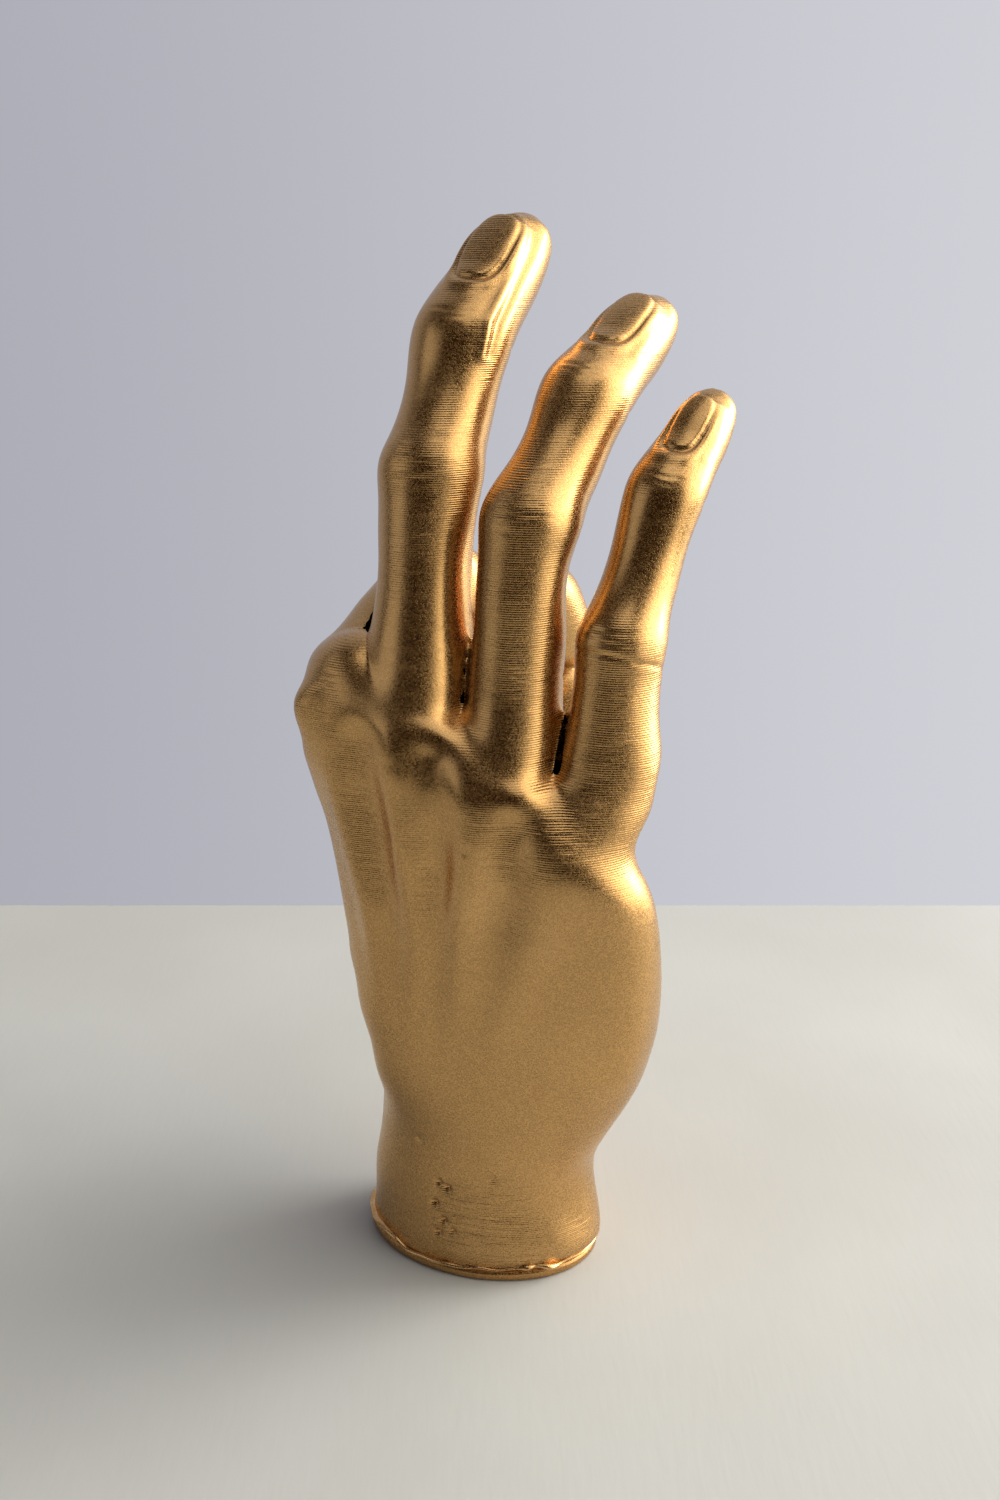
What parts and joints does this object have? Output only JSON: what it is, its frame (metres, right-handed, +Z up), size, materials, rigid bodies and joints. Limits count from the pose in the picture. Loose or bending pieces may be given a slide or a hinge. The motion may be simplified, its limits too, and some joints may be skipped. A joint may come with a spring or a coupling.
{
  "type": "hand sculpture",
  "caption": "Life-size hand sculpture on a thin oval foot, with index finger and thumb joined tip to tip and the other fingers raised, in satin gold paint.",
  "frame": {"origin": "centre of the foot plate's underside, on the table", "axes": "+Z up, +Y from the back of the hand towards its palm side, +X towards the little finger"},
  "size_m": [0.0805, 0.0947, 0.2157],
  "materials": {
    "gold_paint": "cast ceramic under satin metallic gold paint with fine flake",
    "foot_paint": "cast ceramic under satin metallic gold paint, thinly coated edge",
    "bead_paint": "hardened adhesive under shiny gold paint",
    "plaster": "matt cast plaster"
  },
  "bodies": {
    "root": {"palm_shell": "gold_paint", "middle_finger": "gold_paint", "ring_finger": "gold_paint", "little_finger": "gold_paint", "index_finger": "gold_paint", "thumb": "gold_paint", "foot_plate": "foot_paint", "seam_bead": "bead_paint", "ballast_plug": "plaster"}
  },
  "joints": []
}
